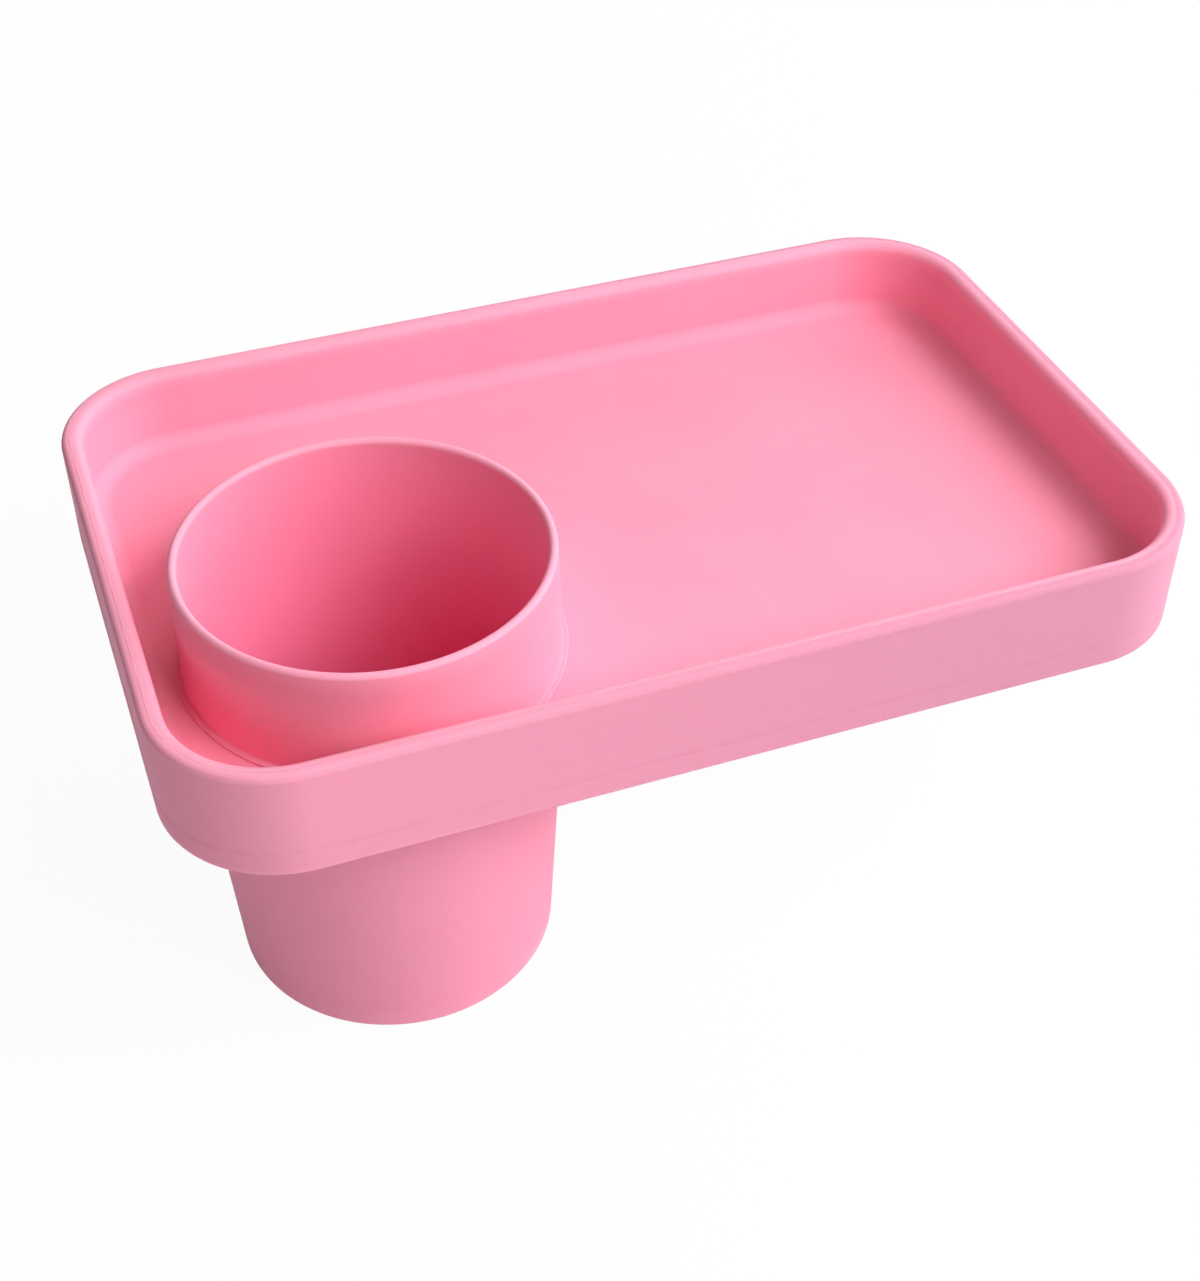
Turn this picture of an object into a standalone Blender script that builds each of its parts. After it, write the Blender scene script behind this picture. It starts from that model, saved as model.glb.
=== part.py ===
# Car seat tray: a rounded snack pan that turns on a tapered cup.
# The cup drops into the cup holder of a child's car seat. Its collar stands up through a round
# hole in the pan's floor. A thin flange on the collar lies on the floor, and a split ring in a
# groove of the neck carries the floor from below, so the pan can turn but not lift or drop.
# Origin: centre of the cup's base. +Z is up, +X runs along the pan, away from the cup's end.

import bmesh
import bpy
from math import cos, pi, sin

MM = 0.001

# Pan, seen from above
PAN_LENGTH = 235.2 * MM
PAN_WIDTH = 151.8 * MM
PAN_CORNER_RADIUS = 27.7 * MM
FLANGE_TO_END_COVE = 1.9 * MM
FLANGE_TO_SIDE_COVE = 2.6 * MM

# Pan, in section
PAN_HEIGHT = 26.9 * MM
BASIN_DEPTH = 19.9 * MM
RIM_WIDTH = 4.8 * MM
RIM_OUTER_ROUND = 1.5 * MM
RIM_INNER_ROUND = 2.2 * MM
BASIN_DRAFT = 0.3 * MM
COVE_RADIUS = 4.0 * MM
FLOOR_THICKNESS = 2.6 * MM
SKIRT_WALL = 3.2 * MM
SKIRT_FILLET = 1.2 * MM
SKIRT_EDGE_ROUND = 0.6 * MM

# Cup
CUP_HEIGHT = 113.0 * MM
CUP_ABOVE_PAN = 7.5 * MM
MOUTH_RADIUS = 41.3 * MM
MOUTH_WALL = 2.0 * MM
COLLAR_RADIUS = 41.8 * MM
CUP_WALL = 2.6 * MM
NECK_BELOW_GROOVE = 12.5 * MM
BASE_RADIUS = 37.9 * MM
BASE_THICKNESS = 2.8 * MM
BASE_EDGE_ROUND = 1.6 * MM
INNER_BASE_FILLET = 5.0 * MM
FLANGE_WIDTH = 1.3 * MM
FLANGE_THICKNESS = 0.8 * MM
FLANGE_EDGE_ROUND = 0.4 * MM

# Split ring in the groove of the cup's neck
GROOVE_DEPTH = 0.9 * MM
RING_BEYOND_COLLAR = 5.0 * MM
RING_THICKNESS = 2.4 * MM
RING_EDGE_CHAMFER = 0.4 * MM
RING_OPENING = 14.0 * MM

# Gap between pieces that touch
CLEARANCE = 0.3 * MM

# Number of straight steps in curved shapes
TURN_STEPS = 72
CORNER_STEPS = 10
ROUND_STEPS = 4

# Levels and radii that several pieces share
FLOOR_Z = CUP_HEIGHT - CUP_ABOVE_PAN - BASIN_DEPTH
RING_TOP_Z = FLOOR_Z - FLOOR_THICKNESS - CLEARANCE
RING_FOOT_Z = RING_TOP_Z - RING_THICKNESS
GROOVE_RADIUS = COLLAR_RADIUS - GROOVE_DEPTH
FLANGE_RADIUS = COLLAR_RADIUS + FLANGE_WIDTH

# How far the basin's flat floor is drawn in from the outer wall, and where the pan's middle is
FLOOR_INSET = RIM_WIDTH + BASIN_DRAFT + COVE_RADIUS
PAN_MIDDLE_X = PAN_LENGTH / 2 - FLOOR_INSET - FLANGE_TO_END_COVE - FLANGE_RADIUS
PAN_MIDDLE_Y = PAN_WIDTH / 2 - FLOOR_INSET - FLANGE_TO_SIDE_COVE - FLANGE_RADIUS

# Colours, as they are seen in plain light
SILICONE_PINK = (0xF7, 0x93, 0xB4)
RING_PINK = (0xF2, 0x86, 0xA8)


def clear_scene():
    for item in list(bpy.data.objects):
        bpy.data.objects.remove(item, do_unlink=True)


def linear(channel):
    value = channel / 255
    if value <= 0.04045:
        return value / 12.92
    return ((value + 0.055) / 1.055) ** 2.4


def make_material(name, colour, roughness):
    material = bpy.data.materials.new(name)
    material.use_nodes = True
    shader = material.node_tree.nodes["Principled BSDF"]
    shader.inputs["Base Color"].default_value = [linear(c) for c in colour] + [1.0]
    shader.inputs["Roughness"].default_value = roughness
    shader.inputs["Metallic"].default_value = 0.0
    return material


def arc(centre, radius, start, end):
    # Points on an arc in section, from one angle to another in quarter turns.
    points = []
    for step in range(ROUND_STEPS + 1):
        angle = (start + (end - start) * step / ROUND_STEPS) * pi / 2
        points.append((centre[0] + radius * cos(angle), centre[1] + radius * sin(angle)))
    return points


def rounded_rectangle(inset, z):
    # The pan's outline, drawn in by an inset. The cup's axis is at zero, near one corner.
    radius = PAN_CORNER_RADIUS - inset
    reach_x = PAN_LENGTH / 2 - PAN_CORNER_RADIUS
    reach_y = PAN_WIDTH / 2 - PAN_CORNER_RADIUS
    points = []
    for quarter, (side_x, side_y) in enumerate(((1, 1), (-1, 1), (-1, -1), (1, -1))):
        for step in range(CORNER_STEPS + 1):
            angle = (quarter + step / CORNER_STEPS) * pi / 2
            x = PAN_MIDDLE_X + side_x * reach_x + radius * cos(angle)
            y = PAN_MIDDLE_Y + side_y * reach_y + radius * sin(angle)
            points.append((x, y, z))
    return points


def circle(radius, z):
    turns = [2 * pi * step / TURN_STEPS for step in range(TURN_STEPS)]
    return [(radius * cos(turn), radius * sin(turn), z) for turn in turns]


def skin(name, rings):
    # One closed body through a stack of rings, capped at both ends.
    shell = bmesh.new()
    rows = [[shell.verts.new(point) for point in ring] for ring in rings]
    count = len(rings[0])
    for low, high in zip(rows, rows[1:]):
        for i in range(count):
            j = (i + 1) % count
            shell.faces.new((low[i], low[j], high[j], high[i]))
    shell.faces.new(list(reversed(rows[0])))
    shell.faces.new(rows[-1])
    bmesh.ops.recalc_face_normals(shell, faces=shell.faces)
    mesh = bpy.data.meshes.new(name)
    shell.to_mesh(mesh)
    shell.free()
    mesh.shade_smooth()
    mesh.set_sharp_from_angle(angle=pi / 6)
    return mesh


def place(name, mesh, material=None, z=0.0):
    item = bpy.data.objects.new(name, mesh)
    item.location = (0.0, 0.0, z)
    bpy.context.scene.collection.objects.link(item)
    if material:
        mesh.materials.append(material)
    return item


def pan_section():
    # Inset from the outer wall and height from the floor, from under the floor round to the basin.
    rim = BASIN_DEPTH
    foot = BASIN_DEPTH - PAN_HEIGHT
    under = -FLOOR_THICKNESS
    edge = SKIRT_EDGE_ROUND
    inner_round = min(RIM_INNER_ROUND, RIM_WIDTH - RIM_OUTER_ROUND)
    section = arc((SKIRT_WALL + SKIRT_FILLET, under - SKIRT_FILLET), SKIRT_FILLET, 1, 2)
    section += arc((SKIRT_WALL - edge, foot + edge), edge, 0, -1)
    section += arc((edge, foot + edge), edge, -1, -2)
    section += arc((RIM_OUTER_ROUND, rim - RIM_OUTER_ROUND), RIM_OUTER_ROUND, 2, 1)
    section += arc((RIM_WIDTH - inner_round, rim - inner_round), inner_round, 1, 0)
    section += arc((FLOOR_INSET, COVE_RADIUS), COVE_RADIUS, 2, 3)
    return section


def make_tray_pan(material):
    # The pan is built about the cup's axis, which it turns on, with its floor at its own zero.
    rings = [rounded_rectangle(inset, z) for inset, z in pan_section()]
    pan = place("tray_pan", skin("tray_pan", rings), material, FLOOR_Z)
    hole_radius = COLLAR_RADIUS + CLEARANCE
    ends = [circle(hole_radius, z) for z in (-2 * FLOOR_THICKNESS, FLOOR_THICKNESS)]
    cutter = place("floor_hole_cutter", skin("floor_hole_cutter", ends), z=FLOOR_Z)
    cutter.display_type = "WIRE"
    cutter.hide_render = True
    hole = pan.modifiers.new("floor hole", "BOOLEAN")
    hole.operation = "DIFFERENCE"
    hole.solver = "EXACT"
    hole.object = cutter
    return pan


def cup_section():
    # Radius and height, from the base up the outside, over the mouth and down the inside.
    flange_foot = FLOOR_Z + CLEARANCE
    flange_top = flange_foot + FLANGE_THICKNESS
    groove_foot = RING_FOOT_Z - CLEARANCE
    groove_top = RING_TOP_Z + CLEARANCE
    taper_top = groove_foot - NECK_BELOW_GROOVE
    lip = MOUTH_WALL / 2
    inner_base = BASE_RADIUS - CUP_WALL
    fillet = INNER_BASE_FILLET
    section = arc((BASE_RADIUS - BASE_EDGE_ROUND, BASE_EDGE_ROUND), BASE_EDGE_ROUND, -1, 0)
    section += [(COLLAR_RADIUS, taper_top), (COLLAR_RADIUS, groove_foot)]
    section += [(GROOVE_RADIUS, groove_foot), (GROOVE_RADIUS, groove_top)]
    section += [(COLLAR_RADIUS, groove_top), (COLLAR_RADIUS, flange_foot)]
    section += [(FLANGE_RADIUS, flange_foot)]
    edge_centre = (FLANGE_RADIUS - FLANGE_EDGE_ROUND, flange_top - FLANGE_EDGE_ROUND)
    section += arc(edge_centre, FLANGE_EDGE_ROUND, 0, 1)
    section += [(COLLAR_RADIUS, flange_top)]
    section += arc((MOUTH_RADIUS - lip, CUP_HEIGHT - lip), lip, 0, 2)
    section += [(COLLAR_RADIUS - CUP_WALL, z) for z in (FLOOR_Z, taper_top)]
    section += arc((inner_base - fillet, BASE_THICKNESS + fillet), fillet, 0, -1)
    return section


def make_cup_insert(material):
    rings = [circle(radius, z) for radius, z in cup_section()]
    return place("cup_insert", skin("cup_insert", rings), material)


def make_retaining_ring(material):
    inner = GROOVE_RADIUS + CLEARANCE
    outer = COLLAR_RADIUS + RING_BEYOND_COLLAR
    cut = RING_EDGE_CHAMFER
    top = RING_THICKNESS
    section = [(inner + cut, 0), (outer - cut, 0), (outer, cut), (outer, top - cut)]
    section += [(outer - cut, top), (inner + cut, top), (inner, top - cut), (inner, cut)]
    half_opening = RING_OPENING / (inner + outer)
    sweep = 2 * (pi - half_opening)
    rings = []
    for step in range(TURN_STEPS + 1):
        turn = half_opening + sweep * step / TURN_STEPS
        rings.append([(radius * cos(turn), radius * sin(turn), z) for radius, z in section])
    return place("retaining_ring", skin("retaining_ring", rings), material, RING_FOOT_Z)


def main():
    clear_scene()
    make_cup_insert(make_material("matt pink cup silicone", SILICONE_PINK, 0.55))
    make_tray_pan(make_material("matt pink pan silicone", SILICONE_PINK, 0.55))
    make_retaining_ring(make_material("satin pink ring plastic", RING_PINK, 0.4))


main()
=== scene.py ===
# Car seat tray in pink moulded silicone: a snack pan that turns on a tapered cup.
# Lengths in the dictionaries are millimetres. The frame's own sizes are read from the CAD boxes.

from math import cos, hypot, pi, radians, sin

import bmesh
import bpy
from mathutils import Matrix, Vector


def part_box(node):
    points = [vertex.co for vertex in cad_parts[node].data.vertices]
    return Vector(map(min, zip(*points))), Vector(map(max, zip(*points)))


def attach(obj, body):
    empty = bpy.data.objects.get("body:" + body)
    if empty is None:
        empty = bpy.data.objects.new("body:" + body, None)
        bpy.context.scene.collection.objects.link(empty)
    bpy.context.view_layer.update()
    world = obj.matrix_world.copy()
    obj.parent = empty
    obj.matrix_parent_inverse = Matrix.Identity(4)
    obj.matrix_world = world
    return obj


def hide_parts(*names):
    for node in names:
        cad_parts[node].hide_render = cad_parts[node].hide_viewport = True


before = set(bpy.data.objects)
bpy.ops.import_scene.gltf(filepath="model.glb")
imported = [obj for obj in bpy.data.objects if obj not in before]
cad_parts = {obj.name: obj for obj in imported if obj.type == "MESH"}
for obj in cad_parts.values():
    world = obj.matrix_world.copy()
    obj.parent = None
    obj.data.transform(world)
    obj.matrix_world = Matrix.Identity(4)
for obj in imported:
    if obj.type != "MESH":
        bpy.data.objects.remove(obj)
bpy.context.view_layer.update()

mm = 0.001
mergeDistance = 0.01  # points closer than this are one point
sharpAngle = 35  # degrees; faces that meet more steeply keep a hard edge
spinRadius = 20.0  # of the circle that the cup's and ring's sections are swept round


# Small helpers

def linearColour(hexColour):
    channels = [int(hexColour[i:i + 2], 16) / 255 for i in (0, 2, 4)]
    linear = [c / 12.92 if c <= 0.04045 else ((c + 0.055) / 1.055) ** 2.4 for c in channels]
    return (*linear, 1.0)


def addNode(tree, kind, inputs=None, **settings):
    # One node: settings are its properties, inputs are numbers, text or other nodes' outputs.
    node = tree.nodes.new(kind)
    for name, value in settings.items():
        setattr(node, name, value)
    for name, value in (inputs or {}).items():
        if isinstance(value, bpy.types.NodeSocket):
            tree.links.new(value, node.inputs[name])
        else:
            node.inputs[name].default_value = value
    return node


def direction(azimuth, elevation):
    # A level line's azimuth is counted from -Y, which the pan's near long wall faces, towards +X.
    across, up = radians(azimuth), radians(elevation)
    return Vector((sin(across) * cos(up), -cos(across) * cos(up), sin(up)))


def arc(centre, radius, start, end, steps):
    # Points of a round in a section, between two angles in quarter turns.
    turns = [(start + (end - start) * i / steps) * pi / 2 for i in range(steps + 1)]
    return [(centre[0] + radius * cos(turn), centre[1] + radius * sin(turn)) for turn in turns]


def run(start, end, steps):
    # Points along a straight part of a section, without its first point.
    return [tuple(a + (b - a) * i / steps for a, b in zip(start, end)) for i in range(1, steps + 1)]


# Mouldings. A piece's section is drawn as a line of points, and Geometry Nodes sweep it round a path.
# Each point has its tags: what the sweep and the material want to know there, from 0 to 1. A tag that
# is left out is 0, but give is 1 on the pan unless it says otherwise.
# seam: on a parting line, and painted shadow at the cup flange's foot. give: how much the wall
# wanders. rub: worn by hands and cloths, and on the rims and lip also a painted highlight.
# outside shade, end shade and well shade: painted shade on the outside faces, towards the open end,
# and deeper down inside the cup.

tagNames = ("seam", "give", "rub", "film", "grip", "well")
ridgeTag = 0.9  # only the ridge on the rim has a seam tag above this


def sectionObject(name, points, closed=False, offset=0.0):
    # A section as an edge mesh. Its X is the way out from the path and its Y is the height.
    mesh = bpy.data.meshes.new(name)
    edges = [(i, i + 1) for i in range(len(points) - 1)]
    if closed:
        edges.append((len(points) - 1, 0))
    mesh.from_pydata([((x - offset) * mm, y * mm, 0.0) for x, y, tags in points], edges, [])
    girths = [0.0]  # how far along the section each point is
    for start, end in zip(points, points[1:]):
        girths.append(girths[-1] + hypot(end[0] - start[0], end[1] - start[1]) * mm)
    columns = {tag: [tags.get(tag, 0.0) for x, y, tags in points] for tag in tagNames}
    for tag, values in {**columns, "girth": girths}.items():
        mesh.attributes.new(tag, "FLOAT", "POINT").data.foreach_set("value", values)
    item = bpy.data.objects.new(name, mesh)
    bpy.context.scene.collection.objects.link(item)
    return item


def newSweepTree(name, sizes):
    tree = bpy.data.node_groups.new(name, "GeometryNodeTree")
    tree.is_modifier = True
    sockets = tree.interface
    sockets.new_socket("Section", in_out="INPUT", socket_type="NodeSocketGeometry")
    for label, value in sizes.items():
        kind = "NodeSocketInt" if isinstance(value, int) else "NodeSocketFloat"
        socket = sockets.new_socket(label, in_out="INPUT", socket_type=kind)
        socket.default_value = value
    sockets.new_socket("Finish", in_out="INPUT", socket_type="NodeSocketMaterial")
    sockets.new_socket("Moulding", in_out="OUTPUT", socket_type="NodeSocketGeometry")
    given = addNode(tree, "NodeGroupInput").outputs
    section = addNode(tree, "GeometryNodeMeshToCurve", {"Mesh": given["Section"]}).outputs["Curve"]
    return tree, given, section


def sweep(tree, path, section, fillCaps=False):
    # With upright normals a profile's X points out of the path and its Y down, so Y is turned over.
    upright = addNode(tree, "GeometryNodeSetCurveNormal", {"Curve": path}, mode="Z_UP")
    noted = addNode(tree, "GeometryNodeStoreNamedAttribute", {
        "Geometry": upright.outputs["Curve"], "Name": "outward",
        "Value": addNode(tree, "GeometryNodeInputNormal").outputs["Normal"],
    }, data_type="FLOAT_VECTOR")
    turned = addNode(tree, "GeometryNodeTransform", {"Geometry": section, "Scale": (1.0, -1.0, 1.0)})
    return addNode(tree, "GeometryNodeCurveToMesh", {
        "Curve": noted.outputs["Geometry"], "Profile Curve": turned.outputs["Geometry"],
        "Fill Caps": fillCaps,
    }).outputs["Mesh"]


def closeTree(tree, given, geometry):
    merged = addNode(tree, "GeometryNodeMergeByDistance", {
        "Geometry": geometry, "Distance": mergeDistance * mm,
    })
    real = addNode(tree, "GeometryNodeRealizeInstances", {"Geometry": merged.outputs["Geometry"]})
    finished = addNode(tree, "GeometryNodeSetMaterial", {
        "Geometry": real.outputs["Geometry"], "Material": given["Finish"],
    })
    addNode(tree, "NodeGroupOutput", {"Moulding": finished.outputs["Geometry"]})


def makeMoulding(name, section, tree, finish, place=(0.0, 0.0)):
    # Evaluates the tree on the section and keeps the result as a plain mesh.
    modifier = section.modifiers.new("sweep", "NODES")
    modifier.node_group = tree
    for socket in tree.interface.items_tree:
        if socket.item_type == "SOCKET" and socket.in_out == "INPUT" and socket.name == "Finish":
            modifier[socket.identifier] = finish
    bpy.context.view_layer.update()
    graph = bpy.context.evaluated_depsgraph_get()
    evaluated = section.evaluated_get(graph)
    mesh = bpy.data.meshes.new_from_object(evaluated, preserve_all_data_layers=True, depsgraph=graph)
    section.modifiers.remove(modifier)
    bpy.data.objects.remove(section, do_unlink=True)
    mesh.name = name
    mesh.materials.clear()  # joined parts leave an empty slot before the finish
    mesh.materials.append(finish)
    mesh.transform(Matrix.Translation((place[0] * mm, place[1] * mm, 0.0)))
    work = bmesh.new()
    work.from_mesh(mesh)
    bmesh.ops.recalc_face_normals(work, faces=work.faces)
    loose = sum(1 for edge in work.edges if not edge.is_manifold)
    work.to_mesh(mesh)
    volume = work.calc_volume()
    work.free()
    mesh.shade_smooth()
    mesh.set_sharp_from_angle(angle=radians(sharpAngle))
    piece = bpy.data.objects.new(name, mesh)
    bpy.context.scene.collection.objects.link(piece)
    print(f"made {name}: {len(mesh.polygons)} faces, {volume * 1e6:.1f} cubic cm, {loose} open edges")
    return piece


# The pan

panLow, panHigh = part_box("tray_pan")

panShape = {
    "length": (panHigh.x - panLow.x) / mm,
    "width": (panHigh.y - panLow.y) / mm,
    "middle": ((panHigh.x + panLow.x) / 2 / mm, (panHigh.y + panLow.y) / 2 / mm),
    "rimHeight": panHigh.z / mm,
    "footHeight": panLow.z / mm,
    "cornerRadius": 27.7,
    "basinDepth": 19.9,
    "rimWidth": 4.8,
    "rimOuterRound": 1.5,
    "rimInnerRound": 2.2,
    "basinDraft": 0.3,
    "coveRadius": 4.0,
    "floorThickness": 2.6,
    "levelStrip": 0.8,  # a flat strip, so that the floor's big faces keep level normals
    "skirtWall": 3.2,
    "skirtFillet": 1.2,
    "footEdgeRound": 0.5,
    "flashRidge": 0.04,  # height of the parting line's thin ridge on the rim
    "flashWidth": 0.2,
    "flashInset": 2.0,
    "witnessAboveFoot": 5.6,  # a second, finer line where the mould's lower ring met
    "witnessStep": 0.05,
    "holeRadius": 42.1,
    "holeSteps": 192,
    "pathStep": 1.5,
    "cornerSteps": 40,
    "unevenness": 0.15,  # how far the soft walls wander inwards from straight
    "wanderLength": 70.0,
    "flashBreakLength": 9.0,  # the ridge is torn away in stretches of about this length
    "tearNoise": (0.5, 0.56),  # noise at which it begins to tear, and at which it is gone
    "innerWallEndShade": 0.12,  # the open end's painted shade reaches a little down the inner wall too
    "coveEndShade": 0.1,
}


def panSection():
    # From the floor's underside round the skirt, up the outer wall, over the rim and down to the floor.
    shape = panShape
    rim = shape["rimHeight"] - shape["flashRidge"]
    foot = shape["footHeight"]
    floor = shape["rimHeight"] - shape["basinDepth"]
    under = floor - shape["floorThickness"]
    cove = shape["coveRadius"]
    skirt = shape["skirtWall"]
    wallFoot = shape["rimWidth"] + shape["basinDraft"]
    floorInset = wallFoot + cove
    stripEnd = floorInset + shape["levelStrip"]
    fillet = shape["skirtFillet"]
    edge = shape["footEdgeRound"]
    step = shape["witnessStep"]
    witness = foot + shape["witnessAboveFoot"]
    outer = shape["rimOuterRound"]
    inner = shape["rimInnerRound"]
    half = shape["flashWidth"] / 2
    flash = shape["flashInset"]
    coveTop = floor + cove
    points = []

    def add(line, give=1.0, **tags):
        points.extend((-inset, height, {"give": give, **tags}) for inset, height in line)

    add([(stripEnd, under)], give=0.0)
    add(run((stripEnd, under), (skirt + fillet, under), 3), give=0.2)
    add(arc((skirt + fillet, under - fillet), fillet, 1, 2, 6)[1:], give=0.5)
    add(run((skirt, under - fillet), (skirt, foot + edge), 2))
    add(arc((skirt - edge, foot + edge), edge, 0, -1, 5)[1:], rub=0.3)
    add(run((skirt - edge, foot), (edge, foot), 2), rub=0.3, film=0.5, grip=0.5)
    add(arc((edge, foot + edge), edge, -1, -2, 5)[1:], rub=0.3, film=1.0, grip=1.0)
    add(run((0.0, foot + edge), (0.0, witness - half), 3), film=1.0, grip=1.0)
    add([(0.0, witness)], seam=0.6, film=1.0, grip=1.0)
    add([(step, witness + half / 2)], seam=0.3, film=1.0, grip=1.0)
    add(run((step, witness + half), (step / 2, rim - outer), 9), film=1.0, grip=1.0)
    outerRound = arc((outer, rim - outer), outer, 2, 1, 14)[1:]
    add(outerRound[:7], rub=0.3, film=0.8, grip=1.0)  # the lower half of the round
    add(outerRound[7:], rub=0.8, film=0.2, grip=0.9)
    add([(flash - half, rim)], rub=1.0, grip=0.5)
    add([(flash, rim + shape["flashRidge"])], seam=1.0, rub=1.0, grip=0.5)
    add([(flash + half, rim)], rub=1.0, grip=0.4)
    innerRound = arc((shape["rimWidth"] - inner, rim - inner), inner, 1, 0, 24)
    add(innerRound[:4], rub=0.9)
    add(innerRound[4:5], seam=0.45, rub=0.9)  # a fainter line beside the ridge
    add(innerRound[5:], rub=0.8)
    add(run((shape["rimWidth"], rim - inner), (wallFoot, coveTop), 8), grip=shape["innerWallEndShade"])
    coveRound = arc((floorInset, coveTop), cove, 2, 3, 16)[1:]
    add(coveRound[:8], give=0.4, grip=shape["coveEndShade"])  # the upper half of the cove
    add(coveRound[8:], give=0.4)
    add(run((floorInset, floor), (stripEnd, floor), 2), give=0.0)
    return points


def panTree():
    shape = panShape
    tree, given, section = newSweepTree("sweep round the pan", {
        "Length": shape["length"] * mm,
        "Width": shape["width"] * mm,
        "Corner Radius": shape["cornerRadius"] * mm,
        "Corner Steps": shape["cornerSteps"],
        "Step": shape["pathStep"] * mm,
        "Hole Radius": shape["holeRadius"] * mm,
        "Hole Steps": shape["holeSteps"],
        "Hole X": -shape["middle"][0] * mm,
        "Hole Y": -shape["middle"][1] * mm,
        "Floor Top": (shape["rimHeight"] - shape["basinDepth"]) * mm,
        "Floor Thickness": shape["floorThickness"] * mm,
        "Unevenness": shape["unevenness"] * mm,
        "Wander Scale": 1 / (shape["wanderLength"] * mm),
        "Flash Height": shape["flashRidge"] * mm,
        "Flash Break Scale": 1 / (shape["flashBreakLength"] * mm),
        "Tear From": shape["tearNoise"][0],
        "Torn From": shape["tearNoise"][1],
    })
    outline = addNode(tree, "GeometryNodeCurvePrimitiveQuadrilateral", {
        "Width": given["Length"], "Height": given["Width"],
    })
    rounded = addNode(tree, "GeometryNodeFilletCurve", {
        "Curve": outline.outputs["Curve"], "Count": given["Corner Steps"], "Radius": given["Corner Radius"],
    }, mode="POLY")
    path = addNode(tree, "GeometryNodeResampleCurve", {
        "Curve": rounded.outputs["Curve"], "Length": given["Step"],
    }, mode="LENGTH")
    swept = sweep(tree, path.outputs["Curve"], section)
    wall = addNode(tree, "GeometryNodeSetPosition", {
        "Geometry": swept, "Offset": wallWander(tree, given),
    }).outputs["Geometry"]
    shell = addNode(tree, "GeometryNodeJoinGeometry")
    for part in (wall, *floorPlates(tree, given, wall)):
        tree.links.new(part, shell.inputs[0])
    closeTree(tree, given, shell.outputs[0])
    return tree


def wallWander(tree, given):
    # How far each point moves: the soft walls wander a little inwards, and the parting ridge is torn
    # away here and there.
    give, seam, outward = [
        addNode(tree, "GeometryNodeInputNamedAttribute", {"Name": name}, data_type=kind).outputs[0]
        for name, kind in (("give", "FLOAT"), ("seam", "FLOAT"), ("outward", "FLOAT_VECTOR"))
    ]
    wander = addNode(tree, "ShaderNodeTexNoise", {"Scale": given["Wander Scale"], "Detail": 1.0})
    drawnIn = wander.outputs[0]
    for factor in (given["Unevenness"], give, -1.0):
        drawnIn = addNode(tree, "ShaderNodeMath", {0: drawnIn, 1: factor}, operation="MULTIPLY").outputs[0]
    inwards = addNode(tree, "ShaderNodeVectorMath", {
        0: outward, "Scale": drawnIn,
    }, operation="SCALE").outputs["Vector"]
    tearing = addNode(tree, "ShaderNodeTexNoise", {"Scale": given["Flash Break Scale"], "Detail": 2.0})
    torn = addNode(tree, "ShaderNodeMapRange", {
        "Value": tearing.outputs[0], "From Min": given["Tear From"], "From Max": given["Torn From"],
    }).outputs["Result"]
    drop = addNode(tree, "ShaderNodeMath", {0: seam, 1: ridgeTag}, operation="GREATER_THAN").outputs[0]
    for factor in (torn, given["Flash Height"], -1.0):
        drop = addNode(tree, "ShaderNodeMath", {0: drop, 1: factor}, operation="MULTIPLY").outputs[0]
    lowered = addNode(tree, "ShaderNodeCombineXYZ", {"Z": drop}).outputs["Vector"]
    return addNode(tree, "ShaderNodeVectorMath", {0: inwards, 1: lowered}, operation="ADD").outputs[0]


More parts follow.
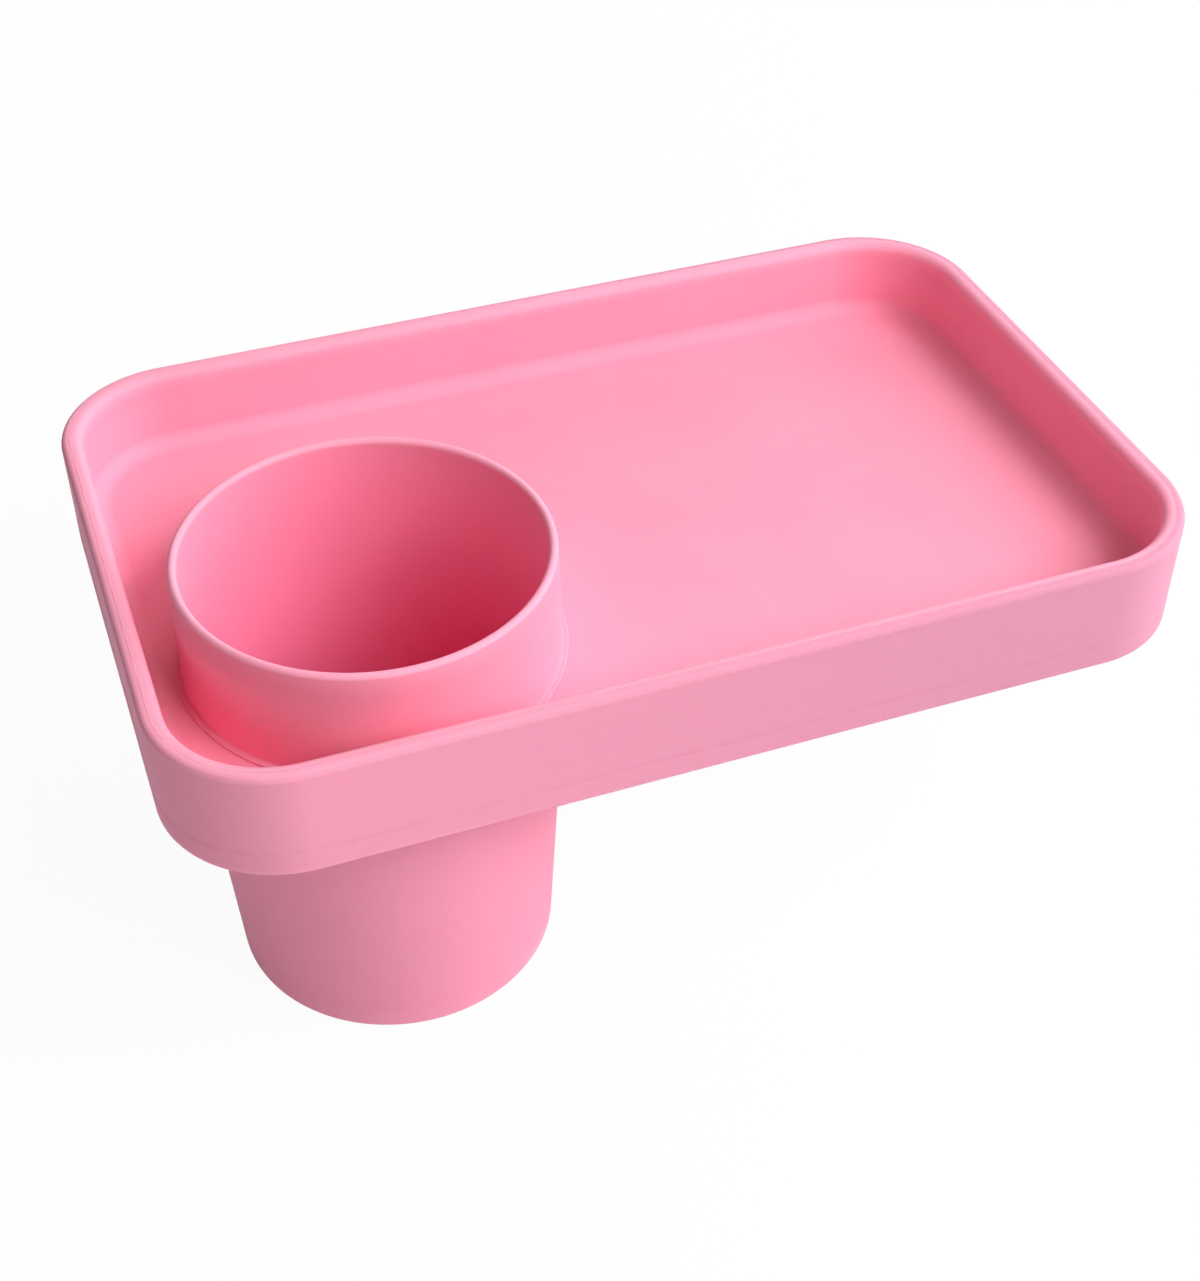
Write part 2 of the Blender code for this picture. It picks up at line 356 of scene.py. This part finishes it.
def floorPlates(tree, given, wall):
    # The floor's two faces, which close the swept wall's open edges round the hole, and the hole's wall.
    underside = addNode(tree, "ShaderNodeMath", {
        0: given["Floor Top"], 1: given["Floor Thickness"],
    }, operation="SUBTRACT").outputs[0]
    middle = addNode(tree, "ShaderNodeMath", {0: underside, 1: given["Floor Top"]}, operation="ADD")
    middle = addNode(tree, "ShaderNodeMath", {0: middle.outputs[0], 1: 0.5}, operation="MULTIPLY")
    height = addNode(tree, "ShaderNodeSeparateXYZ", {
        "Vector": addNode(tree, "GeometryNodeInputPosition").outputs["Position"],
    }).outputs["Z"]
    isUpper = addNode(tree, "FunctionNodeCompare", {
        "A": height, "B": middle.outputs[0],
    }, data_type="FLOAT", operation="GREATER_THAN").outputs["Result"]
    isOpen = addNode(tree, "FunctionNodeCompare", {
        "A": addNode(tree, "GeometryNodeInputMeshEdgeNeighbors").outputs["Face Count"], "B": 1,
    }, data_type="INT", operation="EQUAL").outputs["Result"]
    isUpperOpen = addNode(tree, "FunctionNodeBooleanMath", {0: isOpen, 1: isUpper}, operation="AND")
    openEdge = addNode(tree, "GeometryNodeMeshToCurve", {
        "Mesh": wall, "Selection": isUpperOpen.outputs["Boolean"],
    }).outputs["Curve"]
    circle = addNode(tree, "GeometryNodeCurvePrimitiveCircle", {
        "Resolution": given["Hole Steps"], "Radius": given["Hole Radius"],
    })
    holePlace = addNode(tree, "ShaderNodeCombineXYZ", {"X": given["Hole X"], "Y": given["Hole Y"]})
    hole = addNode(tree, "GeometryNodeTransform", {
        "Geometry": circle.outputs["Curve"], "Translation": holePlace.outputs["Vector"],
    }).outputs["Geometry"]
    edges = addNode(tree, "GeometryNodeJoinGeometry")
    for edge in (openEdge, hole):
        tree.links.new(edge, edges.inputs[0])
    plate = addNode(tree, "GeometryNodeFillCurve", {"Curve": edges.outputs[0]}, mode="TRIANGLES")
    plates = []
    for level in (given["Floor Top"], underside):
        lift = addNode(tree, "ShaderNodeCombineXYZ", {"Z": level}).outputs["Vector"]
        plates.append(addNode(tree, "GeometryNodeTransform", {
            "Geometry": plate.outputs["Mesh"], "Translation": lift,
        }).outputs["Geometry"])
    lineStart, lineEnd = [
        addNode(tree, "ShaderNodeCombineXYZ", {"Y": level}).outputs["Vector"]
        for level in (underside, given["Floor Top"])
    ]
    upright = addNode(tree, "GeometryNodeCurvePrimitiveLine", {"Start": lineStart, "End": lineEnd})
    return (*plates, sweep(tree, hole, upright.outputs["Curve"]))


# The cup

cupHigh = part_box("cup_insert")[1]

cupShape = {
    "height": cupHigh.z / mm,
    "flangeRadius": cupHigh.x / mm,
    "mouthRadius": 41.3,
    "mouthWall": 2.0,
    "collarRadius": 41.8,
    "wall": 2.6,
    "floorHeight": panShape["rimHeight"] - panShape["basinDepth"],
    "taperTop": 67.2,
    "baseRadius": 37.9,
    "baseThickness": 2.8,
    "baseEdgeRound": 1.6,
    "innerBaseFillet": 5.0,
    "flangeThickness": 0.55,
    "flangeClearance": 0.06,
    "flangeEdgeRound": 0.3,
    "flangeFillet": 0.45,
    "grooveDepth": 0.9,
    "grooveClearance": 0.3,
    "shadeBelowPan": 0.9,  # painted shade on the cup below the pan
    "lipFade": 0.4,  # how far below the rubbed lip the inside's painted shade starts
    "wellAtMouth": 0.35,  # how much of the painted shade there is at the mouth
    "wellReach": 60.0,  # how far below the mouth it is at its deepest
    "turnSteps": 256,
}


def cupSection():
    # From the centre of the base up the outside, over the mouth and down the inside to the centre.
    shape = cupShape
    lip = shape["mouthWall"] / 2
    edge = shape["baseEdgeRound"]
    floor = shape["floorHeight"]
    flangeFoot = floor + shape["flangeClearance"]
    flangeTop = flangeFoot + shape["flangeThickness"]
    flangeEdge = (shape["flangeRadius"] - shape["flangeEdgeRound"], flangeTop - shape["flangeEdgeRound"])
    ringTop = ringShape["top"]
    grooveTop = ringTop + shape["grooveClearance"]
    grooveFoot = ringTop - ringShape["thickness"] - shape["grooveClearance"]
    groove = shape["collarRadius"] - shape["grooveDepth"]
    collar = shape["collarRadius"]
    innerBase = shape["baseRadius"] - shape["wall"]
    innerFloor = shape["baseThickness"]
    fillet = shape["innerBaseFillet"]
    innerCollar = collar - shape["wall"]
    root = shape["flangeFillet"]
    film = shape["shadeBelowPan"]
    points = []

    def add(line, **tags):
        points.extend((radius, height, tags) for radius, height in line)

    # Painted shade on the outside below the pan, from the base up to the collar
    add([(0.0, 0.0)], film=film)
    add(run((0.0, 0.0), (shape["baseRadius"] - edge, 0.0), 6), film=film)
    add(arc((shape["baseRadius"] - edge, edge), edge, -1, 0, 10)[1:], rub=0.5, film=film)
    add(run((shape["baseRadius"], edge), (collar, shape["taperTop"]), 12), film=film)
    add(run((collar, shape["taperTop"]), (collar, grooveFoot), 3))
    # The split ring's groove, the neck in the pan's hole, and the flange with painted shadow along its foot
    add([(groove, grooveFoot), (groove, grooveTop), (collar, grooveTop), (collar, flangeFoot)])
    # painted shadow along the flange's foot, where it sits over the pan's floor
    add([(shape["flangeRadius"], flangeFoot)], seam=0.4)
    add(arc(flangeEdge, shape["flangeEdgeRound"], 0, 1, 6))
    add(arc((collar + root, flangeTop + root), root, -1, -2, 6))
    # The collar and the lip
    add(run((collar, flangeTop + root), (shape["mouthRadius"], shape["height"] - lip), 8))
    add(arc((shape["mouthRadius"] - lip, shape["height"] - lip), lip, 0, 2, 20)[1:], rub=1.0)
    # Painted shade inside the cup, deeper the further down it is
    innerMouth = (shape["mouthRadius"] - shape["mouthWall"], shape["height"] - lip)
    inside = [(innerMouth[0], innerMouth[1] - shape["lipFade"])]
    inside += run(innerMouth, (innerCollar, floor), 6)
    inside += run((innerCollar, floor), (innerCollar, shape["taperTop"]), 4)
    inside += run((innerCollar, shape["taperTop"]), (innerBase, innerFloor + fillet), 12)
    inside += arc((innerBase - fillet, innerFloor + fillet), fillet, 0, -1, 14)[1:]
    inside += run((innerBase - fillet, innerFloor), (0.0, innerFloor), 6)
    for radius, height in inside:
        down = (shape["height"] - height) / shape["wellReach"]
        well = shape["wellAtMouth"] + (1.0 - shape["wellAtMouth"]) * down
        add([(radius, height)], well=min(1.0, well))
    return points


def cupTree():
    tree, given, section = newSweepTree("spin the cup", {
        "Path Radius": spinRadius * mm, "Turn Steps": cupShape["turnSteps"],
    })
    circle = addNode(tree, "GeometryNodeCurvePrimitiveCircle", {
        "Resolution": given["Turn Steps"], "Radius": given["Path Radius"],
    })
    closeTree(tree, given, sweep(tree, circle.outputs["Curve"], section))
    return tree


# The split ring

ringLow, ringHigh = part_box("retaining_ring")

ringShape = {
    "top": ringHigh.z / mm,
    "thickness": (ringHigh.z - ringLow.z) / mm,
    "innerRadius": 41.2,
    "outerRadius": 46.8,
    "edgeRound": 0.5,
    "opening": 14.0,
    "turnSteps": 192,
    "rub": 0.5,
}


def ringSection():
    # The closed outline of the split ring's bar.
    shape = ringShape
    foot = shape["top"] - shape["thickness"]
    edge = shape["edgeRound"]
    inner, outer, top = shape["innerRadius"], shape["outerRadius"], shape["top"]
    points = arc((outer - edge, foot + edge), edge, -1, 0, 5)
    points += arc((outer - edge, top - edge), edge, 0, 1, 5)
    points += arc((inner + edge, top - edge), edge, 1, 2, 5)
    points += arc((inner + edge, foot + edge), edge, 2, 3, 5)
    return [(radius, height, {"rub": shape["rub"]}) for radius, height in points]


def ringTree():
    shape = ringShape
    halfOpening = shape["opening"] / (shape["innerRadius"] + shape["outerRadius"])  # in radians
    tree, given, section = newSweepTree("bend the split ring", {
        "Path Radius": spinRadius * mm, "Turn Steps": shape["turnSteps"],
        "Start": halfOpening, "Sweep": 2 * (pi - halfOpening),
    })
    bar = addNode(tree, "GeometryNodeCurveArc", {
        "Resolution": given["Turn Steps"], "Radius": given["Path Radius"],
        "Start Angle": given["Start"], "Sweep Angle": given["Sweep"],
    }, mode="RADIUS")
    closeTree(tree, given, sweep(tree, bar.outputs["Curve"], section, fillCaps=True))
    return tree


# Materials

noiseLow, noiseHigh = 0.3, 0.7  # between these a noise texture has nearly all of its values

siliconeLook = {
    "colour": "FE9FB7",
    "deepColour": "FC9BB4",  # where the pigment is a little denser
    "filmColour": "EC9AB3",  # painted shade: the outside faces are darker and greyer
    "gripColour": "C8889F",  # painted shade at the open end
    "gripReach": (-60.0, 180.0),  # where the open end's painted shade starts and where it is full, along X
    "gripAmount": 0.9,
    "wellColour": "FE8BB1",  # painted shade inside the cup, deeper further down
    "mottleSize": 28.0,  # sizes, depths and lengths are millimetres
    "speckleSize": 0.9,
    "speckle": 0.16,
    "rubColour": "FFB2C9",  # edges that hands and cloths have rubbed, and on the rims and lip a painted highlight
    "rubAndHighlightAmount": 0.8,
    "seamDirtAndShadowColour": "A23C5C",  # dirt held by the parting lines, and painted shadow at the cup flange's foot
    "seamAmount": 0.8,
    "seamSharpness": 2.0,  # the power that narrows the line's soft edges
    "seamBreak": 6.0,
    "seamNoise": (0.35, 0.55),  # noise at which the dirt begins, and at which it is full
    "dustColour": "8E4A5C",
    "dustCell": 17.0,
    "dustSize": 0.17,
    "dustFreeCells": 0.6,  # the share of cells without a speck
    "roughness": 0.6,
    "roughnessSpread": 0.12,
    "polish": 0.08,  # how much smoother a rubbed edge is
    "grainSize": 0.5,
    "grainDepth": 0.012,
    "orangePeelSize": 5.0,
    "orangePeelDepth": 0.02,
    "drawLineSpacing": 0.45,
    "drawLineDepth": 0.012,
    "drawLineLength": 30.0,
    "ior": 1.41,
    "specular": 0.06,
    "depth": 0.2,
    "depthRadius": (2.5, 0.8, 1.0),
    "patternShift": (0.0, 0.0, 0.0),
}

cupLook = {
    **siliconeLook,
    "filmColour": "E694AD",  # painted shade on the cup below the pan, darker than on the pan's outside
    "patternShift": (300.0, 100.0, 200.0),  # so that the pan's pattern does not go on in the cup
}


def newFinish(name):
    material = bpy.data.materials.new(name)
    material.use_nodes = True
    tree = material.node_tree
    return material, tree, tree.nodes["Principled BSDF"]


def denserPigment(tree, look, place, clouds):
    # Broad clouds and a fine speckle.
    speckle = addNode(tree, "ShaderNodeTexNoise", {
        "Vector": place, "Scale": 1 / (look["speckleSize"] * mm), "Detail": 2.0, "Roughness": 0.6,
    }).outputs["Fac"]
    cloudy = addNode(tree, "ShaderNodeMapRange", {
        "Value": clouds, "From Min": noiseLow, "From Max": noiseHigh,
    }).outputs["Result"]
    speckled = addNode(tree, "ShaderNodeMapRange", {
        "Value": speckle, "From Min": noiseLow, "From Max": noiseHigh,
        "To Min": -look["speckle"], "To Max": look["speckle"],
    }).outputs["Result"]
    return addNode(tree, "ShaderNodeMath", {
        0: cloudy, 1: speckled,
    }, operation="ADD", use_clamp=True).outputs[0]


# Paler worn edges, which also paint a highlight on the rims and the cup's lip
def rubbedPatchesAndHighlight(tree, look, rub, clouds):
    worn = addNode(tree, "ShaderNodeMath", {0: rub, 1: clouds}, operation="MULTIPLY").outputs[0]
    return addNode(tree, "ShaderNodeMath", {0: worn, 1: look["rubAndHighlightAmount"]}, operation="MULTIPLY").outputs[0]


def gripFilm(tree, look, bodyPlace, grip):
    # Painted shade that grows towards the open end.
    lengthwise = addNode(tree, "ShaderNodeSeparateXYZ", {"Vector": bodyPlace}).outputs["X"]
    start, full = look["gripReach"]
    reached = addNode(tree, "ShaderNodeMapRange", {
        "Value": lengthwise, "From Min": start * mm, "From Max": full * mm, "To Max": look["gripAmount"],
    }, interpolation_type="SMOOTHSTEP").outputs["Result"]
    return addNode(tree, "ShaderNodeMath", {0: reached, 1: grip}, operation="MULTIPLY").outputs[0]


def seamDirtAndShadow(tree, look, place, seam):
    # Broken and uneven along the parting line. At the cup flange's foot it is painted shadow.
    breaks = addNode(tree, "ShaderNodeTexNoise", {
        "Vector": place, "Scale": 1 / (look["seamBreak"] * mm), "Detail": 4.0, "Roughness": 0.7,
    }).outputs["Fac"]
    begins, full = look["seamNoise"]
    unbroken = addNode(tree, "ShaderNodeMapRange", {
        "Value": breaks, "From Min": begins, "From Max": full, "To Max": look["seamAmount"],
    }).outputs["Result"]
    narrow = addNode(tree, "ShaderNodeMath", {
        0: seam, 1: look["seamSharpness"],
    }, operation="POWER").outputs[0]
    return addNode(tree, "ShaderNodeMath", {0: narrow, 1: unbroken}, operation="MULTIPLY").outputs[0]


def dustSpecks(tree, look, place):
    # One speck in some of the cells.
    cells = addNode(tree, "ShaderNodeTexVoronoi", {"Vector": place, "Scale": 1 / (look["dustCell"] * mm)})
    near = addNode(tree, "ShaderNodeMath", {
        0: cells.outputs["Distance"], 1: look["dustSize"] / look["dustCell"],
    }, operation="LESS_THAN").outputs[0]
    chance = addNode(tree, "ShaderNodeSeparateColor", {"Color": cells.outputs["Color"]}).outputs[0]
    chosen = addNode(tree, "ShaderNodeMath", {
        0: chance, 1: look["dustFreeCells"],
    }, operation="GREATER_THAN").outputs[0]
    return addNode(tree, "ShaderNodeMath", {0: near, 1: chosen}, operation="MULTIPLY").outputs[0]


def siliconeRelief(tree, look, place, girth):
    # Soft waves of the rubber, lines drawn along the rim and walls, and the blasted grain.
    waves = addNode(tree, "ShaderNodeTexNoise", {
        "Vector": place, "Scale": 1 / (look["orangePeelSize"] * mm), "Detail": 1.0,
    }).outputs["Fac"]
    along = addNode(tree, "ShaderNodeVectorMath", {
        0: place, "Scale": 1 / (look["drawLineLength"] * mm),
    }, operation="SCALE").outputs["Vector"]
    across = addNode(tree, "ShaderNodeMath", {
        0: girth, 1: 1 / (look["drawLineSpacing"] * mm),
    }, operation="MULTIPLY").outputs[0]
    lines = addNode(tree, "ShaderNodeTexNoise", {
        "Vector": along, "W": across, "Scale": 1.0, "Detail": 1.0,
    }, noise_dimensions="4D").outputs["Fac"]
    grain = addNode(tree, "ShaderNodeTexNoise", {
        "Vector": place, "Scale": 1 / (look["grainSize"] * mm), "Detail": 2.0, "Roughness": 0.6,
    }).outputs["Fac"]
    relief = {}  # each bump after the first starts from the one before
    for height, depth in ((waves, "orangePeelDepth"), (lines, "drawLineDepth"), (grain, "grainDepth")):
        relief["Normal"] = addNode(tree, "ShaderNodeBump", {
            "Height": height, "Distance": look[depth] * mm, "Strength": 1.0, **relief,
        }).outputs["Normal"]
    return relief["Normal"]


def mouldedSilicone(name, look):
    # Silicone rubber, compression moulded in a blasted steel mould. To the eye: matt and even, with
    # soft highlights, red light that soaks a few mm into the walls, and a fine broken line where the
    # mould's halves met. The real grain is about 0.05 mm; it is drawn at 0.5 mm so that it shows.
    material, tree, shader = newFinish(name)
    bodyPlace = addNode(tree, "ShaderNodeTexCoord").outputs["Object"]
    place = addNode(tree, "ShaderNodeMapping", {
        "Vector": bodyPlace, "Location": [shift * mm for shift in look["patternShift"]],
    }).outputs["Vector"]
    tags = {
        tag: addNode(tree, "ShaderNodeAttribute", attribute_name=tag).outputs["Fac"]
        for tag in ("seam", "rub", "film", "grip", "well", "girth")
    }
    clouds = addNode(tree, "ShaderNodeTexNoise", {
        "Vector": place, "Scale": 1 / (look["mottleSize"] * mm), "Detail": 3.0, "Roughness": 0.55,
    }).outputs["Fac"]

    # Each colour lies over the ones before it. A Mix node's two colours are its sockets 6 and 7.
    colour = linearColour(look["colour"])
    for layer, amount in (
        ("deepColour", denserPigment(tree, look, place, clouds)),
        # painted shade on the outside faces
        ("filmColour", tags["film"]),
        # painted shade deeper down inside the cup
        ("wellColour", tags["well"]),
        # rubbed edges, and a painted highlight on the rims and lip
        ("rubColour", rubbedPatchesAndHighlight(tree, look, tags["rub"], clouds)),
        # painted shade towards the open end
        ("gripColour", gripFilm(tree, look, bodyPlace, tags["grip"])),
        # dirt on the parting lines, and painted shadow at the flange's foot
        ("seamDirtAndShadowColour", seamDirtAndShadow(tree, look, place, tags["seam"])),
        ("dustColour", dustSpecks(tree, look, place)),
    ):
        colour = addNode(tree, "ShaderNodeMix", {
            0: amount, 6: colour, 7: linearColour(look[layer]),
        }, data_type="RGBA").outputs[2]
    tree.links.new(colour, shader.inputs["Base Color"])

    # Roughness is patchy, and a little lower where the surface is rubbed
    patchy = addNode(tree, "ShaderNodeMapRange", {
        "Value": clouds, "From Min": noiseLow, "From Max": noiseHigh,
        "To Min": look["roughness"] - look["roughnessSpread"] / 2,
        "To Max": look["roughness"] + look["roughnessSpread"] / 2,
    }).outputs["Result"]
    polish = addNode(tree, "ShaderNodeMath", {0: tags["rub"], 1: look["polish"]}, operation="MULTIPLY")
    smoother = addNode(tree, "ShaderNodeMath", {0: patchy, 1: polish.outputs[0]}, operation="SUBTRACT")
    tree.links.new(smoother.outputs[0], shader.inputs["Roughness"])
    tree.links.new(siliconeRelief(tree, look, place, tags["girth"]), shader.inputs["Normal"])

    shader.inputs["IOR"].default_value = look["ior"]
    shader.inputs["Specular IOR Level"].default_value = look["specular"]
    shader.inputs["Subsurface Weight"].default_value = look["depth"]
    shader.inputs["Subsurface Radius"].default_value = look["depthRadius"]
    shader.inputs["Subsurface Scale"].default_value = mm
    return material


ringLook = {
    "colour": "F98BAA",
    "deepColour": "F483A3",
    "flowSize": 9.0,
    "rubColour": "FBA5BE",
    "roughness": 0.4,
    "roughnessSpread": 0.1,
    "sparkSize": 0.6,  # a real spark-eroded grain is about 0.05 mm, too fine to show
    "sparkDepth": 0.008,
    "ior": 1.49,
    "depth": 0.3,
    "depthRadius": (1.5, 0.6, 0.7),
}


def mouldedPolypropylene(name, look):
    # Injection-moulded polypropylene with a fine spark-eroded surface: satin, waxy, with faint flow
    # marks that follow the bar and edges that the silicone has rubbed paler.
    material, tree, shader = newFinish(name)
    place = addNode(tree, "ShaderNodeTexCoord").outputs["Object"]
    rub = addNode(tree, "ShaderNodeAttribute", attribute_name="rub").outputs["Fac"]
    flow = addNode(tree, "ShaderNodeTexNoise", {
        "Vector": place, "Scale": 1 / (look["flowSize"] * mm), "Detail": 3.0, "Distortion": 1.2,
    }).outputs["Fac"]
    spark = addNode(tree, "ShaderNodeTexNoise", {
        "Vector": place, "Scale": 1 / (look["sparkSize"] * mm), "Detail": 2.0, "Roughness": 0.6,
    }).outputs["Fac"]
    body = addNode(tree, "ShaderNodeMix", {
        0: flow, 6: linearColour(look["colour"]), 7: linearColour(look["deepColour"]),
    }, data_type="RGBA").outputs[2]
    worn = addNode(tree, "ShaderNodeMath", {0: rub, 1: spark}, operation="MULTIPLY").outputs[0]
    rubbed = addNode(tree, "ShaderNodeMix", {
        0: worn, 6: body, 7: linearColour(look["rubColour"]),
    }, data_type="RGBA").outputs[2]
    tree.links.new(rubbed, shader.inputs["Base Color"])
    patchy = addNode(tree, "ShaderNodeMapRange", {
        "Value": flow, "From Min": noiseLow, "From Max": noiseHigh,
        "To Min": look["roughness"] - look["roughnessSpread"] / 2,
        "To Max": look["roughness"] + look["roughnessSpread"] / 2,
    }).outputs["Result"]
    tree.links.new(patchy, shader.inputs["Roughness"])
    relief = addNode(tree, "ShaderNodeBump", {
        "Height": spark, "Distance": look["sparkDepth"] * mm, "Strength": 1.0,
    }).outputs["Normal"]
    tree.links.new(relief, shader.inputs["Normal"])
    shader.inputs["IOR"].default_value = look["ior"]
    shader.inputs["Subsurface Weight"].default_value = look["depth"]
    shader.inputs["Subsurface Radius"].default_value = look["depthRadius"]
    shader.inputs["Subsurface Scale"].default_value = mm
    return material


# Camera, at the photograph's viewing angle

viewpoint = {
    "azimuth": -20.25,
    "elevation": 40.77,
    "target": (52.04, -3.43, 74.22),
    "distance": 458.2,
    "focalPixels": 1993.8,  # in the photograph's own pixels, as the next is
    "heightPixels": 1281,
    "sensorHeight": 36.0,
    "clipStart": 10.0,
}


def makeCamera():
    view = viewpoint
    back = direction(view["azimuth"], view["elevation"])
    data = bpy.data.cameras.new("camera")
    data.sensor_fit = "VERTICAL"
    data.sensor_height = view["sensorHeight"]
    data.lens = view["sensorHeight"] * view["focalPixels"] / view["heightPixels"]
    data.clip_start = view["clipStart"] * mm
    camera = bpy.data.objects.new("camera", data)
    camera.location = (Vector(view["target"]) + back * view["distance"]) * mm
    camera.rotation_euler = back.to_track_quat("Z", "Y").to_euler()
    bpy.context.scene.collection.objects.link(camera)
    bpy.context.scene.camera = camera


# Studio: pale floor, soft lamps and white surroundings. Powers are watts.

studio = {
    "lampDistance": 1000.0,
    "lampSize": 600.0,
    "floorRadius": 2500.0,
    "floorSegments": 96,
    "floorColour": "F4F2F2",
    "floorDrop": 0.1,  # so that the cup's base does not share the floor's plane
    "floorGlow": 0.95,  # the rest of the floor's white is its own colour, with the object's shadow
}

lamps = {
    "keyFront": {"azimuth": 30, "elevation": 45, "power": 6.5},
    "keySide": {"azimuth": 60, "elevation": 45, "power": 4.7},
    "frontLow": {"azimuth": 60, "elevation": 20, "power": 1.8},
    "sideLow": {"azimuth": 90, "elevation": 20, "power": 2.5},
    "sideBack": {"azimuth": 120, "elevation": 20, "power": 1.6},
    "backLow": {"azimuth": 150, "elevation": 20, "power": 1.3},
    "backHigh": {"azimuth": 150, "elevation": 68, "power": 1.4},
    "fillLeft": {"azimuth": -60, "elevation": 20, "power": 1.7},
    "fillBehind": {"azimuth": 172, "elevation": 15, "power": 1.5},
}


def seenDirectly(tree):
    # 1 for what the camera sees, also in a reflection or through something clear, otherwise 0.
    rays = addNode(tree, "ShaderNodeLightPath").outputs
    seen = rays["Is Camera Ray"]
    for kind in ("Is Glossy Ray", "Is Transmission Ray"):
        seen = addNode(tree, "ShaderNodeMath", {0: seen, 1: rays[kind]}, operation="MAXIMUM").outputs[0]
    return seen


def makeFloor():
    work = bmesh.new()
    bmesh.ops.create_circle(
        work, cap_ends=True, segments=studio["floorSegments"], radius=studio["floorRadius"] * mm,
    )
    mesh = bpy.data.meshes.new("floor")
    work.to_mesh(mesh)
    work.free()
    mesh.transform(Matrix.Translation((0.0, 0.0, -studio["floorDrop"] * mm)))
    floor = bpy.data.objects.new("floor", mesh)
    bpy.context.scene.collection.objects.link(floor)
    # Seamless matt paper. To the eye it is white with a faint soft shadow, so most of it glows to the
    # camera and the rest takes the light.
    material = bpy.data.materials.new("matt paper sweep")
    material.use_nodes = True
    tree = material.node_tree
    tree.nodes.clear()
    glow = addNode(tree, "ShaderNodeMath", {
        0: seenDirectly(tree), 1: studio["floorGlow"],
    }, operation="MULTIPLY").outputs[0]
    paper = addNode(tree, "ShaderNodeBsdfDiffuse", {
        "Color": linearColour(studio["floorColour"]),
    }).outputs[0]
    white = addNode(tree, "ShaderNodeEmission", {"Strength": 1.0}).outputs[0]
    mix = addNode(tree, "ShaderNodeMixShader", {0: glow, 1: paper, 2: white})
    addNode(tree, "ShaderNodeOutputMaterial", {"Surface": mix.outputs[0]})
    mesh.materials.append(material)


def makeSurroundings():
    # White to the camera and in reflections. It lights nothing: the lamps do.
    world = bpy.data.worlds.new("white surroundings")
    bpy.context.scene.world = world
    world.use_nodes = True
    tree = world.node_tree
    tree.nodes.clear()
    backdrop = addNode(tree, "ShaderNodeBackground", {
        "Color": linearColour("FFFFFF"), "Strength": seenDirectly(tree),
    })
    addNode(tree, "ShaderNodeOutputWorld", {"Surface": backdrop.outputs[0]})


def makeLamps():
    # Each lamp is a disk that faces the camera's target.
    aim = Vector(viewpoint["target"]) * mm
    for name, lamp in lamps.items():
        out = direction(lamp["azimuth"], lamp["elevation"])
        data = bpy.data.lights.new(name, "AREA")
        data.shape = "DISK"
        data.size = studio["lampSize"] * mm
        data.energy = lamp["power"]
        item = bpy.data.objects.new(name, data)
        item.location = aim + out * studio["lampDistance"] * mm
        item.rotation_euler = out.to_track_quat("Z", "Y").to_euler()
        bpy.context.scene.collection.objects.link(item)


# Build

makeCamera()
makeFloor()
makeSurroundings()
makeLamps()
bpy.context.scene.view_settings.view_transform = "Standard"
print("studio is set")

panSilicone = mouldedSilicone("moulded pink silicone, pan", siliconeLook)
cupSilicone = mouldedSilicone("moulded pink silicone, cup", cupLook)
ringPlastic = mouldedPolypropylene("moulded pink polypropylene", ringLook)
print("finishes are made")

pan = makeMoulding(
    "snack_pan", sectionObject("pan section", panSection()), panTree(), panSilicone,
    place=panShape["middle"],
)
cup = makeMoulding(
    "cup", sectionObject("cup section", cupSection(), offset=spinRadius), cupTree(), cupSilicone,
)
splitRing = makeMoulding(
    "split_ring", sectionObject("ring section", ringSection(), closed=True, offset=spinRadius),
    ringTree(), ringPlastic,
)

for piece, body, node, slotName in (
    (pan, "pan", "tray_pan", "pan"),
    (cup, "cup", "cup_insert", "cup"),
    (splitRing, "cup", "retaining_ring", "ring"),
):
    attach(piece, body)
    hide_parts(node)
print("pieces ride on their bodies")
